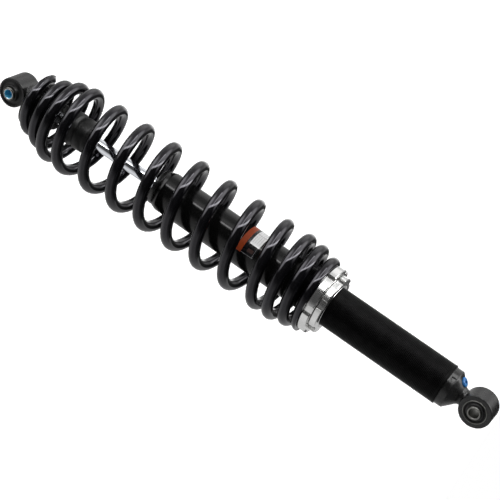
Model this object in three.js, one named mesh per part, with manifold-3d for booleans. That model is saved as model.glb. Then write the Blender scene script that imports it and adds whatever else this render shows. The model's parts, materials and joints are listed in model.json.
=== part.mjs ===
// Coil-over gas shock absorber with an eye at each end, built as its separate pieces.
// Millimetres, +Z from the rod eye towards the body eye, origin at the centre of the
// body eye. The bores of both eyes lie along Y. The shock is drawn fully extended.
import * as THREE from 'three';
import { mergeVertices } from 'three/addons/utils/BufferGeometryUtils.js';
import Module from 'manifold-3d';

const wasm = await Module();
wasm.setup();

// ---- driving dimensions -------------------------------------------------------------
const EYE_TO_EYE = 561;
const GAP = 0.15; // all round between two pieces that share an axis
const SEAT = 0.3; // between two faces that rest on each other

const TUBE_OUTER_R = 21.15;
const TUBE_BORE_R = 18;
const TUBE_TOP = -37;
const TUBE_END = -373.9; // rolled end, towards the rod
const TUBE_SHOULDER_LENGTH = 5.2;
const TUBE_END_R = 19.3;

const BODY_EYE_R = 16.75;
const BODY_EYE_WIDTH = 22.2;
const BODY_EYE_EDGE = 0.9; // rounding of its rims
const BODY_SLEEVE_R = 6.7;
const BODY_SLEEVE_LENGTH = 27.8;
const BODY_SHELL_R = 12;
const BODY_SHELL_LENGTH = 23;
const SHELL_WALL = 1;
const CAP_R = 19.8;
const CAP_SHOULDER = -28.5;
const NECK_R = 8.4;
const NECK_TOP = -18.4;
const NECK_END = -10; // inside the eye
const SPIGOT_R = 17.7;
const SPIGOT_END = -52;
const CAP_ORING_Z = -49;
const ORING_R = 16.85; // the three O-rings that seal in the tube's bore
const ORING_SECTION = 0.95;
const ORING_GROOVE_R = 15.6;
const ORING_GROOVE_HALF = 1.3;

const ROD_EYE_R = 15.5;
const ROD_EYE_WALL = 1.75;
const ROD_EYE_WIDTH = 27.6;
const ROD_EYE_EDGE = 0.6;
const ROD_SLEEVE_R = 7;
const ROD_SLEEVE_LENGTH = 39;
const BOLT_R = 5;
const LINER_WALL = 0.45;

const ROD_R = 6.25;
const ROD_SHOULDER = -333.8;
const ROD_THREAD_R = 5;
const ROD_TOP = -304;
const ROD_BOTTOM = -543.6;
const ROD_NECK_R = 9;
const ROD_NECK_TOP = -539.7;

const RETAINER_BOTTOM = -539.4;
const RETAINER_FLANGE = 2.8;
const RETAINER_FLANGE_R = 27;
const RETAINER_PILOT_R = 19.2;
const RETAINER_HUB_R = 14.7;
const RETAINER_TOP = -507.3;
const RETAINER_SLOT_DIRECTION = 58; // degrees about +Z

const SLIDING_BORE_R = ROD_R + 0.25; // of the retainer and the bump stop, round the rod

const BUMP_R = 18;
const BUMP_BOTTOM = -497;
const BUMP_TOP = -462;

const COLLAR_FACE = -183; // the spring rests here
const PRELOAD_R = 36;
const PRELOAD_TOP = -174.7;
const PRELOAD_PILOT_R = 27.2;
const PRELOAD_PILOT_END = -191;
const LOCK_R = 30.9;
const LOCK_TOP = -167.4;
const LOCK_BOTTOM = PRELOAD_TOP + SEAT + 0.1;
const COLLAR_BORE_R = TUBE_OUTER_R + 0.15;
const COLLAR_SLOTS = 6;
const PRELOAD_FIRST_SLOT = 25.5; // degrees about +Z
const LOCK_FIRST_SLOT = 7;
const COLLAR_SLOT_WIDTH = 9.3;
const COLLAR_SLOT_DEPTH = 3;

const WIRE_R = 5.75;
const SPRING_TURNS = 13.6;
const SPRING_START = -539; // centre of the wire at the rod end
const SPRING_START_ANGLE = 149; // degrees about +Z
// [turn, pitch] and [turn, outer radius]: close coils at both ends, open ones between
const PITCH_PLAN = [
  [0, 26.3], [0.9, 14.9], [2.5, 14.9], [3.7, 34.7], [10.1, 34.7], [11, 16.1], [12.7, 16.4], [13.3, 11],
];
const RADIUS_PLAN = [[0, 32.5], [3, 46.2], [11.2, 46.5], [13.55, 39.5]];

const FINE = 36; // facets round a large visible piece
const COARSE = 20; // facets round a small or inner piece
const STEPS_PER_TURN = 16; // along the spring's wire

// ---- shapes -------------------------------------------------------------------------
const radians = THREE.MathUtils.degToRad;

// keeps position only, drops zero-width triangles and turns the faces outwards
function closed(geometry) {
  geometry.deleteAttribute('normal');
  geometry.deleteAttribute('uv');
  const merged = mergeVertices(geometry, 1e-5);
  const position = merged.getAttribute('position');
  const corner = [new THREE.Vector3(), new THREE.Vector3(), new THREE.Vector3()];
  const faces = [];
  let volume = 0;
  for (let i = 0; i < merged.index.count; i += 3) {
    const face = [0, 1, 2].map((j) => merged.index.getX(i + j));
    if (new Set(face).size < 3) continue;
    corner.forEach((point, j) => point.fromBufferAttribute(position, face[j]));
    volume += corner[0].dot(corner[1].clone().cross(corner[2])) / 6;
    faces.push(face);
  }
  const outward = volume > 0 ? faces : faces.map(([a, b, c]) => [a, c, b]);
  const result = new THREE.BufferGeometry();
  result.setAttribute('position', position.clone());
  result.setIndex(outward.flat());
  return result;
}

// turns an outline of [radius, z] points about +Z
function turned(outline, facets = COARSE) {
  const onAxis = outline[0][0] === 0;
  const loop = onAxis ? outline : [...outline, outline[0]];
  const points = loop.map(([radius, z]) => new THREE.Vector2(radius, z));
  return closed(new THREE.LatheGeometry(points, facets).rotateX(Math.PI / 2));
}

// a plain ring between two radii and two heights
function ring(inner, outer, low, high, facets = COARSE) {
  return turned([[inner, low], [outer, low], [outer, high], [inner, high]], facets);
}

// a ring of round section, such as an O-ring
function roundRing(radius, section, z, facets = COARSE, sides = 6) {
  const outline = [];
  for (let i = 0; i < sides; i += 1) {
    const angle = (2 * Math.PI * i) / sides;
    outline.push([radius + section * Math.cos(angle), z + section * Math.sin(angle)]);
  }
  return turned(outline, facets);
}

// the four outline points of an O-ring groove at height z, in an outer wall of that radius
const groove = (wall, z, direction = 1) => [
  [wall, z - direction * ORING_GROOVE_HALF], [ORING_GROOVE_R, z - direction * ORING_GROOVE_HALF],
  [ORING_GROOVE_R, z + direction * ORING_GROOVE_HALF], [wall, z + direction * ORING_GROOVE_HALF],
];

function toManifold(geometry) {
  const mesh = new wasm.Mesh({
    numProp: 3,
    vertProperties: new Float32Array(geometry.getAttribute('position').array),
    triVerts: new Uint32Array(geometry.index.array),
  });
  return new wasm.Manifold(mesh);
}

function fromManifold(solid) {
  const mesh = solid.getMesh();
  const geometry = new THREE.BufferGeometry();
  geometry.setAttribute('position', new THREE.BufferAttribute(new Float32Array(mesh.vertProperties), 3));
  geometry.setIndex(Array.from(mesh.triVerts));
  return geometry;
}

const join = (first, ...rest) => (
  fromManifold(rest.reduce((sum, geometry) => sum.add(toManifold(geometry)), toManifold(first)))
);
const cut = (first, ...rest) => (
  fromManifold(rest.reduce((sum, geometry) => sum.subtract(toManifold(geometry)), toManifold(first)))
);

const box = (x, y, z) => closed(new THREE.BoxGeometry(x, y, z));
const rod = (radius, length, facets) => turned([
  [0, -length / 2], [radius, -length / 2], [radius, length / 2], [0, length / 2],
], facets);

// a rod about +Z, centred, with the edges of its ends cut off
const disc = (radius, length, edge) => turned([
  [0, -length / 2], [radius - edge, -length / 2], [radius, edge - length / 2],
  [radius, length / 2 - edge], [radius - edge, length / 2], [0, length / 2],
], FINE);

// +Z to -Y: lays a turned piece across the shock as an eye's bush lies
const across = (geometry) => geometry.rotateX(Math.PI / 2);

// value at x along a plan of [x, value] points, easing from each to the next
function along(plan, x) {
  const next = plan.findIndex(([at]) => at > x);
  if (next === 0) return plan[0][1];
  if (next < 0) return plan[plan.length - 1][1];
  const [x0, value0] = plan[next - 1];
  const [x1, value1] = plan[next];
  return value0 + (value1 - value0) * THREE.MathUtils.smoothstep(x, x0, x1);
}

// ---- body eye, tube and what closes them --------------------------------------------
// the gas port's mouth lies on the cap's cone
const GAS_PLUG_R = 4.75;
const GAS_PLUG_SUNK = 2.5;
const GAS_PLUG_PROUD = 1.3;
const GAS_PORT_ANGLE = 174; // degrees about +Z
const GAS_PORT_RADIUS = 13.6;
const GAS_PORT_Z = -23.2;
const GAS_PORT_LEAN = 46; // degrees from +Z
const GAS_POCKET_LENGTH = 12;
const NEEDLE_HOLE_R = 1.6;
const NEEDLE_HOLE_LENGTH = 40;

// moves a piece drawn about +Z to the gas port, with z = 0 at the cone's face
function atGasPort(geometry) {
  return geometry.rotateY(radians(GAS_PORT_LEAN)).translate(GAS_PORT_RADIUS, 0, GAS_PORT_Z)
    .rotateZ(radians(GAS_PORT_ANGLE));
}

function bodyEye() {
  const eye = across(disc(BODY_EYE_R, BODY_EYE_WIDTH, BODY_EYE_EDGE));
  const capLow = TUBE_TOP + SEAT;
  const cap = turned([
    [0, SPIGOT_END], [SPIGOT_R - 0.6, SPIGOT_END], [SPIGOT_R, SPIGOT_END + 0.6],
    ...groove(SPIGOT_R, CAP_ORING_Z),
    [SPIGOT_R, capLow], [CAP_R - 0.8, capLow], [CAP_R, capLow + 0.8], [CAP_R, CAP_SHOULDER - 1],
    [CAP_R - 1, CAP_SHOULDER], [NECK_R + 1.2, NECK_TOP - 1.5], [NECK_R, NECK_TOP],
    [NECK_R, NECK_END], [0, NECK_END],
  ], FINE);
  const bore = across(rod(BODY_SHELL_R + GAP, 2 * BODY_EYE_WIDTH, FINE));
  const pocketFloor = -GAS_PLUG_SUNK - SEAT;
  const pocket = atGasPort(
    rod(GAS_PLUG_R + GAP, GAS_POCKET_LENGTH, 24).translate(0, 0, pocketFloor + GAS_POCKET_LENGTH / 2),
  );
  const needleHole = atGasPort(
    rod(NEEDLE_HOLE_R, NEEDLE_HOLE_LENGTH, 12).translate(0, 0, -NEEDLE_HOLE_LENGTH / 2),
  );
  return cut(join(cap, eye), bore, pocket, needleHole);
}

const gasPlug = () => atGasPort(turned([
  [0, -GAS_PLUG_SUNK], [GAS_PLUG_R, -GAS_PLUG_SUNK], [GAS_PLUG_R, GAS_PLUG_PROUD - 0.9],
  [GAS_PLUG_R - 0.9, GAS_PLUG_PROUD], [0, GAS_PLUG_PROUD],
], 24));

const capOring = () => roundRing(ORING_R, ORING_SECTION, CAP_ORING_Z);

function bodyTube() {
  const clipGroove = [CLIP_TOP + 0.1, CLIP_TOP - CLIP_HEIGHT - 0.1];
  const grooveR = CLIP_R + 0.1;
  return turned([
    [TUBE_BORE_R, TUBE_END], [TUBE_END_R - 0.5, TUBE_END], [TUBE_END_R, TUBE_END + 0.5],
    [TUBE_OUTER_R - 0.4, TUBE_END + TUBE_SHOULDER_LENGTH - 1],
    [TUBE_OUTER_R, TUBE_END + TUBE_SHOULDER_LENGTH], [TUBE_OUTER_R, TUBE_TOP - 0.6],
    [TUBE_OUTER_R - 0.6, TUBE_TOP], [TUBE_BORE_R, TUBE_TOP],
    [TUBE_BORE_R, clipGroove[0]], [grooveR, clipGroove[0]], [grooveR, clipGroove[1]],
    [TUBE_BORE_R, clipGroove[1]],
  ], FINE);
}

// ---- rod guide group at the tube's rolled end ---------------------------------------
const GUIDE_BOTTOM = -371;
const GUIDE_TOP = -346;
const GUIDE_R = TUBE_BORE_R - GAP;
const GUIDE_ORING_Z = -353;
const CLIP_R = 18.8;
const CLIP_INNER_R = 15.4;
const CLIP_TOP = GUIDE_BOTTOM - SEAT;
const CLIP_HEIGHT = 1.2;
const CLIP_OPENING = 9;
const BUSH_R = 7.6;
const SEAL_R = 11;
const SEAL_BOTTOM = -369;
const SEAL_TOP = -363.5;
const HEAD_CAP_R = 18.8;
const HEAD_CAP_TOP = -373.1;
const HEAD_CAP_BOTTOM = -379.1;
const WIPER_R = 10.2;
const WIPER_TOP = -375.6;
const WIPER_LIP = -378.8;
const WIPER_BOTTOM = -379.7;

const rodGuide = () => turned([
  [BUSH_R + GAP, GUIDE_TOP], [GUIDE_R - 1, GUIDE_TOP], [GUIDE_R, GUIDE_TOP - 1],
  ...groove(GUIDE_R, GUIDE_ORING_Z, -1), [GUIDE_R, GUIDE_BOTTOM], [SEAL_R + GAP, GUIDE_BOTTOM],
  [SEAL_R + GAP, SEAL_TOP + SEAT], [BUSH_R + GAP, SEAL_TOP + SEAT],
]);
const guideOring = () => roundRing(ORING_R, ORING_SECTION, GUIDE_ORING_Z);
const guideBush = () => ring(ROD_R + 0.1, BUSH_R, SEAL_TOP + 1, GUIDE_TOP - 1);
const rodSeal = () => turned([
  [ROD_R + 0.1, SEAL_TOP], [SEAL_R, SEAL_TOP], [SEAL_R, SEAL_BOTTOM], [9, SEAL_BOTTOM],
  [8.2, SEAL_TOP - 2], [ROD_R + 0.1, SEAL_TOP - 3.2],
]);

// an open spring ring with an eyelet gap
function guideCirclip() {
  const clip = ring(CLIP_INNER_R, CLIP_R - 0.1, CLIP_TOP - CLIP_HEIGHT, CLIP_TOP);
  const opening = box(8, CLIP_OPENING, 6).translate(CLIP_INNER_R + 2, 0, CLIP_TOP);
  return cut(clip, opening);
}

// a cover that plugs into the tube's rolled end and holds the wiper in a pocket
function headCap() {
  const plugR = TUBE_BORE_R - 0.4;
  const pocketR = WIPER_R + GAP;
  const pocketTop = WIPER_TOP + SEAT;
  const shoulder = TUBE_END - SEAT;
  return turned([
    [ROD_R + 0.6, HEAD_CAP_TOP], [ROD_R + 0.6, pocketTop], [pocketR, pocketTop], [pocketR, HEAD_CAP_BOTTOM],
    [HEAD_CAP_R - 0.8, HEAD_CAP_BOTTOM], [HEAD_CAP_R, HEAD_CAP_BOTTOM + 0.8], [HEAD_CAP_R, shoulder],
    [plugR, shoulder], [plugR, HEAD_CAP_TOP],
  ], FINE);
}

// its inner lip touches the rod
const dustWiper = () => turned([
  [ROD_R + 0.15, WIPER_BOTTOM], [7.6, WIPER_BOTTOM], [8.6, WIPER_LIP], [WIPER_R, WIPER_LIP],
  [WIPER_R, WIPER_TOP], [ROD_R + 0.9, WIPER_TOP], [ROD_R + 0.9, WIPER_LIP + 0.8],
]);

// ---- sticker on the plain part of the tube ------------------------------------------
const LABEL_START = 108; // degrees about +Z
const LABEL_SWEEP = 150;
const LABEL_BOTTOM = -273.5;
const LABEL_HEIGHT = 20;

function label() {
  const inner = TUBE_OUTER_R + 0.05;
  const outer = inner + 0.2;
  const start = radians(LABEL_START);
  const end = start + radians(LABEL_SWEEP);
  const shape = new THREE.Shape();
  shape.absarc(0, 0, outer, start, end, false);
  shape.absarc(0, 0, inner, end, start, true);
  const options = { depth: LABEL_HEIGHT, bevelEnabled: false, curveSegments: 20 };
  return closed(new THREE.ExtrudeGeometry(shape, options).translate(0, 0, LABEL_BOTTOM));
}

// ---- rod, its piston and valve stack ------------------------------------------------
const PISTON_BOTTOM = -330;
const PISTON_TOP = -318;
const PISTON_R = 17.2;
const BAND_LOW = PISTON_BOTTOM + 2;
const BAND_HIGH = PISTON_TOP - 2;
const PORTS = 6;
const PORT_R = 1.7;
const PORT_CIRCLE_R = 12;
const SHIM_RADII = [15, 12, 9];
const SHIM_STEP = 0.5;
const WASHER_R = 9;
const SPACER_R = 10.6;
const NUT_R = 9.2; // across its corners
const NUT_HEIGHT = 8;

const pistonRod = () => turned([
  [0, ROD_BOTTOM], [ROD_R - 0.8, ROD_BOTTOM], [ROD_R, ROD_BOTTOM + 0.8], [ROD_R, ROD_SHOULDER],
  [ROD_THREAD_R, ROD_SHOULDER], [ROD_THREAD_R, ROD_TOP - 1], [ROD_THREAD_R - 1, ROD_TOP], [0, ROD_TOP],
]);

function piston() {
  const bore = ROD_THREAD_R + GAP;
  const blank = turned([
    [bore, PISTON_BOTTOM], [PISTON_R, PISTON_BOTTOM], [PISTON_R, BAND_LOW], [PISTON_R - 1, BAND_LOW],
    [PISTON_R - 1, BAND_HIGH], [PISTON_R, BAND_HIGH], [PISTON_R, PISTON_TOP], [bore, PISTON_TOP],
  ]);
  const ports = [];
  for (let i = 0; i < PORTS; i += 1) {
    const port = rod(PORT_R, 30, 10).translate(PORT_CIRCLE_R, 0, PISTON_BOTTOM);
    ports.push(port.rotateZ(radians((360 / PORTS) * i)));
  }
  return cut(blank, ...ports);
}

const pistonBand = () => ring(PISTON_R - 1 + GAP, TUBE_BORE_R - 0.1, BAND_LOW + GAP, BAND_HIGH - GAP);

// a clamped pyramid of thin discs, widest against the piston's face
function shimStack(face, direction) {
  const bore = ROD_THREAD_R + GAP;
  const level = (step) => face + direction * SHIM_STEP * step;
  const steps = SHIM_RADII.flatMap((radius, step) => [[radius, level(step)], [radius, level(step + 1)]]);
  return turned([[bore, face], ...steps, [bore, level(SHIM_RADII.length)]]);
}

const compressionShims = () => shimStack(PISTON_TOP + 0.2, 1);
const reboundShims = () => shimStack(PISTON_BOTTOM - 0.2, -1);
const reboundWasher = () => ring(ROD_THREAD_R + GAP, WASHER_R, ROD_SHOULDER + 0.2, PISTON_BOTTOM - 2);
const nutWasher = () => ring(ROD_THREAD_R + GAP, WASHER_R, PISTON_TOP + 2, PISTON_TOP + 4);
const topOutSpacer = () => turned([
  [ROD_R + 0.1, GUIDE_TOP + SEAT], [SPACER_R - 0.6, GUIDE_TOP + SEAT], [SPACER_R, GUIDE_TOP + 1.2],
  [SPACER_R, ROD_SHOULDER - 1.2], [SPACER_R - 0.6, ROD_SHOULDER], [ROD_R + 0.1, ROD_SHOULDER],
]);

function pistonNut() {
  const low = PISTON_TOP + 4 + SEAT;
  const bore = rod(ROD_THREAD_R + GAP, 40, COARSE).translate(0, 0, low);
  const blank = turned([[0, low], [NUT_R, low], [NUT_R, low + NUT_HEIGHT], [0, low + NUT_HEIGHT]], 6);
  return cut(blank, bore);
}

// ---- rod eye ------------------------------------------------------------------------
const lowerEye = (geometry) => across(geometry).translate(0, 0, -EYE_TO_EYE);

function rodEye() {
  const tube = lowerEye(disc(ROD_EYE_R, ROD_EYE_WIDTH, ROD_EYE_EDGE));
  // the neck flares into a weld where it meets the eye's tube
  const neck = turned([
    [0, -552], [ROD_NECK_R + 1.8, -552], [ROD_NECK_R + 1.4, ROD_NECK_TOP - 5.3],
    [ROD_NECK_R + 0.2, ROD_NECK_TOP - 3.3], [ROD_NECK_R, ROD_NECK_TOP - 1.8],
    [ROD_NECK_R, ROD_NECK_TOP - 0.6], [ROD_NECK_R - 0.6, ROD_NECK_TOP], [0, ROD_NECK_TOP],
  ]);
  const bore = lowerEye(rod(ROD_EYE_R - ROD_EYE_WALL, 2 * ROD_EYE_WIDTH, FINE));
  const socket = rod(ROD_R + GAP, 20, COARSE).translate(0, 0, ROD_BOTTOM - SEAT + 10);
  return cut(join(neck, tube), bore, socket);
}

// half widths of the bush rubbers, at the housing and at the sleeve
const ROD_RUBBER_EDGE = 13.4;
const ROD_RUBBER_CROWN = 17.1;
const BODY_RUBBER_EDGE = 10.3;
const BODY_RUBBER_CROWN = 11.9;

// a bonded rubber bush, thicker towards the sleeve than its housing is wide
const bushRubber = (inner, outer, edge, crown) => turned([
  [inner, -crown], [inner + 2, -crown], [outer, -edge], [outer, edge], [inner + 2, crown], [inner, crown],
], FINE);

const sleeve = (inner, outer, length) => turned([
  [inner, -length / 2], [outer - 0.4, -length / 2], [outer, 0.4 - length / 2], [outer, length / 2 - 0.4],
  [outer - 0.4, length / 2], [inner, length / 2],
]);

const centredRing = (inner, outer, length, facets) => ring(inner, outer, -length / 2, length / 2, facets);

const rodBushRubber = () => lowerEye(
  bushRubber(ROD_SLEEVE_R + GAP, ROD_EYE_R - ROD_EYE_WALL - GAP, ROD_RUBBER_EDGE, ROD_RUBBER_CROWN),
);
const rodBushSleeve = () => lowerEye(sleeve(BOLT_R + LINER_WALL + GAP, ROD_SLEEVE_R, ROD_SLEEVE_LENGTH));
const rodBoreLiner = () => lowerEye(centredRing(BOLT_R, BOLT_R + LINER_WALL, ROD_SLEEVE_LENGTH - 1, COARSE));

const bodyBushShell = () => across(
  centredRing(BODY_SHELL_R - SHELL_WALL, BODY_SHELL_R, BODY_SHELL_LENGTH, FINE),
);
const bodyBushRubber = () => across(
  bushRubber(BODY_SLEEVE_R + GAP, BODY_SHELL_R - SHELL_WALL - GAP, BODY_RUBBER_EDGE, BODY_RUBBER_CROWN),
);
const bodyBushSleeve = () => across(sleeve(BOLT_R, BODY_SLEEVE_R, BODY_SLEEVE_LENGTH));

// ---- spring, its seats and the bump stop --------------------------------------------
// the wire's centre line, from the rod end, worked out by adding up the pitch plan
class SpringLine extends THREE.Curve {
  constructor() {
    super();
    this.samples = 40; // per turn
    this.heights = [SPRING_START];
    for (let i = 0; i < SPRING_TURNS * this.samples; i += 1) {
      const pitch = along(PITCH_PLAN, (i + 0.5) / this.samples);
      this.heights.push(this.heights[i] + pitch / this.samples);
    }
    this.arcLengthDivisions = 3000;
  }

  getPoint(t, target = new THREE.Vector3()) {
    const turn = t * SPRING_TURNS;
    const i = Math.min(Math.floor(turn * this.samples), this.heights.length - 2);
    const height = THREE.MathUtils.lerp(this.heights[i], this.heights[i + 1], turn * this.samples - i);
    const radius = along(RADIUS_PLAN, turn) - WIRE_R;
    const angle = radians(SPRING_START_ANGLE) + 2 * Math.PI * turn;
    return target.set(radius * Math.cos(angle), radius * Math.sin(angle), height);
  }
}

function coilSpring() {
  const section = new THREE.Shape().absarc(0, 0, WIRE_R, 0, 2 * Math.PI, false);
  const wire = new THREE.ExtrudeGeometry(section, {
    steps: Math.round(SPRING_TURNS * STEPS_PER_TURN),
    curveSegments: 4,
    bevelEnabled: false,
    extrudePath: new SpringLine(),
  });
  const seatLow = RETAINER_BOTTOM + RETAINER_FLANGE + SEAT;
  const seatHigh = COLLAR_FACE - SEAT;
  const grinder = [120, 120, 20];
  const belowSeat = box(...grinder).translate(0, 0, seatLow - 10);
  const aboveSeat = box(...grinder).translate(0, 0, seatHigh + 10);
  return cut(closed(wire), belowSeat, aboveSeat);
}

// a flanged collar that seats the spring, with a slot that lets it slip over the rod
function springRetainer() {
  const flangeTop = RETAINER_BOTTOM + RETAINER_FLANGE;
  const blank = turned([
    [0, RETAINER_BOTTOM], [RETAINER_FLANGE_R - 0.6, RETAINER_BOTTOM],
    [RETAINER_FLANGE_R, RETAINER_BOTTOM + 0.6], [RETAINER_FLANGE_R, flangeTop],
    [RETAINER_PILOT_R, flangeTop], [RETAINER_PILOT_R, flangeTop + 9],
    [RETAINER_HUB_R, RETAINER_TOP - 8], [RETAINER_HUB_R, RETAINER_TOP - 1],
    [RETAINER_HUB_R - 1, RETAINER_TOP], [0, RETAINER_TOP],
  ], FINE);
  const middle = (RETAINER_BOTTOM + RETAINER_TOP) / 2;
  const hole = rod(SLIDING_BORE_R, 60, COARSE).translate(0, 0, middle);
  const slot = box(60, 2 * SLIDING_BORE_R, 60).translate(30, 0, middle)
    .rotateZ(radians(RETAINER_SLOT_DIRECTION));
  return cut(blank, hole, slot);
}

// a rubber block with a waist, so that it softens before it bottoms
const bumpStop = () => turned([
  [SLIDING_BORE_R, BUMP_BOTTOM], [BUMP_R - 2, BUMP_BOTTOM], [BUMP_R, BUMP_BOTTOM + 2],
  [BUMP_R, BUMP_BOTTOM + 13], [BUMP_R - 2.4, BUMP_BOTTOM + 16], [BUMP_R - 0.8, BUMP_BOTTOM + 19],
  [BUMP_R - 1.2, BUMP_TOP - 6], [BUMP_R - 5, BUMP_TOP], [SLIDING_BORE_R, BUMP_TOP],
], FINE);

// spanner slots round a collar's rim
function slotted(blank, rimRadius, middle, firstSlot) {
  const slots = [];
  for (let i = 0; i < COLLAR_SLOTS; i += 1) {
    const direction = radians(firstSlot + (360 / COLLAR_SLOTS) * i);
    const slot = box(2 * COLLAR_SLOT_DEPTH, COLLAR_SLOT_WIDTH, 30).translate(rimRadius, 0, middle);
    slots.push(slot.rotateZ(direction));
  }
  return cut(blank, ...slots);
}

function preloadCollar() {
  const blank = turned([
    [COLLAR_BORE_R, PRELOAD_PILOT_END], [PRELOAD_PILOT_R - 0.8, PRELOAD_PILOT_END],
    [PRELOAD_PILOT_R, PRELOAD_PILOT_END + 0.8], [PRELOAD_PILOT_R, COLLAR_FACE],
    [PRELOAD_R - 1, COLLAR_FACE], [PRELOAD_R, COLLAR_FACE + 1], [PRELOAD_R, PRELOAD_TOP - 1],
    [PRELOAD_R - 1, PRELOAD_TOP], [COLLAR_BORE_R, PRELOAD_TOP],
  ], FINE);
  return slotted(blank, PRELOAD_R, (COLLAR_FACE + PRELOAD_TOP) / 2, PRELOAD_FIRST_SLOT);
}

function lockCollar() {
  const blank = turned([
    [COLLAR_BORE_R, LOCK_BOTTOM], [LOCK_R - 1, LOCK_BOTTOM], [LOCK_R, LOCK_BOTTOM + 1],
    [LOCK_R, LOCK_TOP - 1], [LOCK_R - 1, LOCK_TOP], [COLLAR_BORE_R + 0.8, LOCK_TOP],
    [COLLAR_BORE_R, LOCK_TOP - 0.8],
  ], FINE);
  return slotted(blank, LOCK_R, (LOCK_BOTTOM + LOCK_TOP) / 2, LOCK_FIRST_SLOT);
}

// ---- floating piston between the oil and the gas ------------------------------------
const FLOAT_BOTTOM = -120;
const FLOAT_TOP = -105;
const FLOAT_R = TUBE_BORE_R - 0.2;
const FLOAT_ORING_Z = -115.5;

const FLOAT_CUP_R = 12.5;

// hollowed towards the gas
const floatingPiston = () => turned([
  [0, FLOAT_BOTTOM], [FLOAT_R, FLOAT_BOTTOM], ...groove(FLOAT_R, FLOAT_ORING_Z), [FLOAT_R, FLOAT_TOP],
  [FLOAT_CUP_R, FLOAT_TOP], [FLOAT_CUP_R - 1, FLOAT_BOTTOM + 4], [0, FLOAT_BOTTOM + 4],
]);
const floatingPistonOring = () => roundRing(ORING_R, ORING_SECTION, FLOAT_ORING_Z);

// ---- materials and the assembly -----------------------------------------------------
const look = (color, roughness, metalness) => new THREE.MeshStandardMaterial({ color, roughness, metalness });
const blackPaint = () => look(0x121214, 0.3, 0.1);
const springCoat = () => look(0x0b0b0d, 0.22, 0.1);
const chrome = () => look(0xd8dbe0, 0.08, 1);
const machined = () => look(0xc8cbd0, 0.3, 1);
const steel = () => look(0x8f9296, 0.35, 1);
const rubber = () => look(0x17171a, 0.75, 0);
const bluePlastic = () => look(0x1779a8, 0.4, 0);
const paper = () => look(0xe9e6e1, 0.5, 0);

const PIECES = [
  ['body_tube', bodyTube, blackPaint],
  ['body_eye', bodyEye, blackPaint],
  ['body_cap_oring', capOring, rubber],
  ['body_bush_shell', bodyBushShell, steel],
  ['body_bush_rubber', bodyBushRubber, rubber],
  ['body_bush_sleeve', bodyBushSleeve, steel],
  ['gas_plug', gasPlug, bluePlastic],
  ['rod_guide', rodGuide, machined],
  ['rod_guide_oring', guideOring, rubber],
  ['rod_guide_bush', guideBush, steel],
  ['rod_seal', rodSeal, rubber],
  ['guide_circlip', guideCirclip, steel],
  ['head_cap', headCap, blackPaint],
  ['dust_wiper', dustWiper, rubber],
  ['label', label, paper],
  ['lock_collar', lockCollar, machined],
  ['preload_collar', preloadCollar, machined],
  ['coil_spring', coilSpring, springCoat],
  ['spring_retainer', springRetainer, blackPaint],
  ['bump_stop', bumpStop, rubber],
  ['piston_rod', pistonRod, chrome],
  ['rod_eye', rodEye, blackPaint],
  ['rod_bush_rubber', rodBushRubber, rubber],
  ['rod_bush_sleeve', rodBushSleeve, steel],
  ['rod_bore_liner', rodBoreLiner, bluePlastic],
  ['top_out_spacer', topOutSpacer, rubber],
  ['rebound_washer', reboundWasher, steel],
  ['rebound_shims', reboundShims, steel],
  ['piston', piston, machined],
  ['piston_band', pistonBand, rubber],
  ['compression_shims', compressionShims, steel],
  ['nut_washer', nutWasher, steel],
  ['piston_nut', pistonNut, steel],
  ['floating_piston', floatingPiston, machined],
  ['floating_piston_oring', floatingPistonOring, rubber],
];

const shock = new THREE.Group();
for (const [name, shape, material] of PIECES) {
  const mesh = new THREE.Mesh(shape(), material());
  mesh.name = name;
  shock.add(mesh);
}

export default shock;
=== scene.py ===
"""Looks of a coil-over gas shock absorber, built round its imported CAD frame.

Metres, in the frame's own axes: +Z runs from the rod eye to the body eye, whose bore lies along Y
with its centre at the origin. Outlines are written in millimetres as [radius, height] points,
and a third number is the radius of that corner's rounding.
"""
import json
import math

import bmesh
import bpy
import numpy as np
from mathutils import Matrix, Vector


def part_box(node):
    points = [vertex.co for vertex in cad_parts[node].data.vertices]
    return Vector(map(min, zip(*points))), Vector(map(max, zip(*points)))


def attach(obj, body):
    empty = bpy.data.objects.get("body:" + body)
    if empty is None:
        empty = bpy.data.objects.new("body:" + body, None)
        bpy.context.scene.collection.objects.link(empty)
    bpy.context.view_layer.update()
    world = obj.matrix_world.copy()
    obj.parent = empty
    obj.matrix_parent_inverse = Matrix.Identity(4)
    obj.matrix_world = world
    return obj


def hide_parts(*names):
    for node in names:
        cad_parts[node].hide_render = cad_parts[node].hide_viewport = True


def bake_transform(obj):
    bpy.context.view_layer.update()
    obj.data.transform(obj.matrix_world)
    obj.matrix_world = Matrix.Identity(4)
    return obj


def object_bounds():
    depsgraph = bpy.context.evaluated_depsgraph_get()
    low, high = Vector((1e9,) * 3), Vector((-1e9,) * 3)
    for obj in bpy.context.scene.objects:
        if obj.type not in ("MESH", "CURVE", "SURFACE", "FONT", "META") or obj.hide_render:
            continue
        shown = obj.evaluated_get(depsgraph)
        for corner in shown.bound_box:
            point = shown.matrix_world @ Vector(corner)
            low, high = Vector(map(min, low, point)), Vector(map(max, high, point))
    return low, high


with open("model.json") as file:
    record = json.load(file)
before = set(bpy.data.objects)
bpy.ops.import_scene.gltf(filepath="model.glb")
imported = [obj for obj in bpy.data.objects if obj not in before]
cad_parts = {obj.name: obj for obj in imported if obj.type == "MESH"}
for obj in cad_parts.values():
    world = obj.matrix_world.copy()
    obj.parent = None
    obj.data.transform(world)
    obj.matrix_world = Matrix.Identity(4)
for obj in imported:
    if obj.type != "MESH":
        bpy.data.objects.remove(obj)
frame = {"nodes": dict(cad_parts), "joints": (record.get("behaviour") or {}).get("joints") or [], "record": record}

CAD_LOW, CAD_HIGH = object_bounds()
MM = 0.001
ROUND = 128  # sides round a large turned piece
TUBE_ROUND = 96
SMALL_ROUND = 72
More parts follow.
